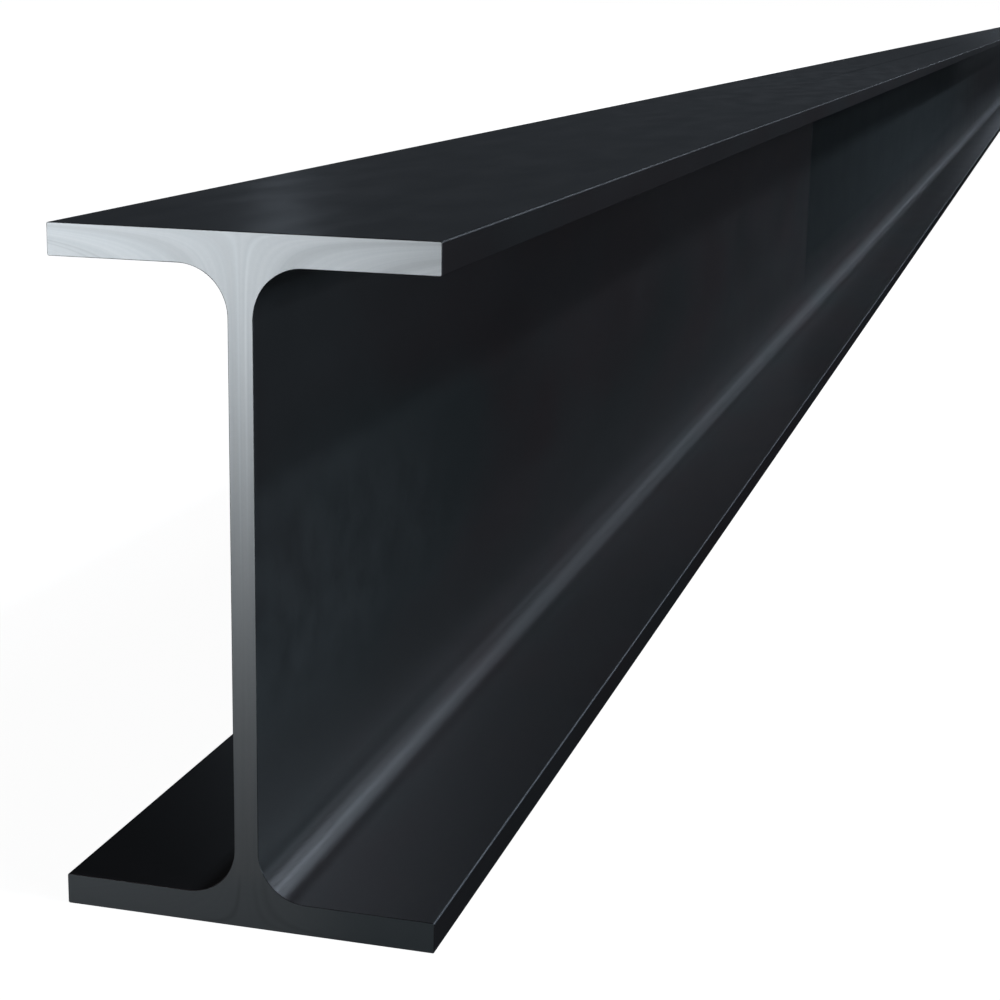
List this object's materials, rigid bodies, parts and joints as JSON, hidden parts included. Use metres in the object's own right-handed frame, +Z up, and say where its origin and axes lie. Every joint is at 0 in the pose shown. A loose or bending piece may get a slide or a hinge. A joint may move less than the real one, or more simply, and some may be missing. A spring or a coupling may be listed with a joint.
{
  "type": "steel i-beam",
  "caption": "Hot-rolled steel I-beam in a straight stock length, with parallel flanges, filleted web and square-sawn ends, to carry load across a span.",
  "frame": {"origin": "under the middle of the bottom flange, halfway along the beam, on the surface it stands on", "axes": "+X along the beam, +Y across the flanges, +Z up the web from the bottom flange to the top flange"},
  "size_m": [6, 0.055, 0.0976],
  "materials": {
    "mill_scale": "dark blue-grey mill scale, satin, on the rolled faces; bare bright saw-cut steel on the two ends"
  },
  "bodies": {
    "root": {"i_beam": "mill_scale"}
  },
  "joints": []
}
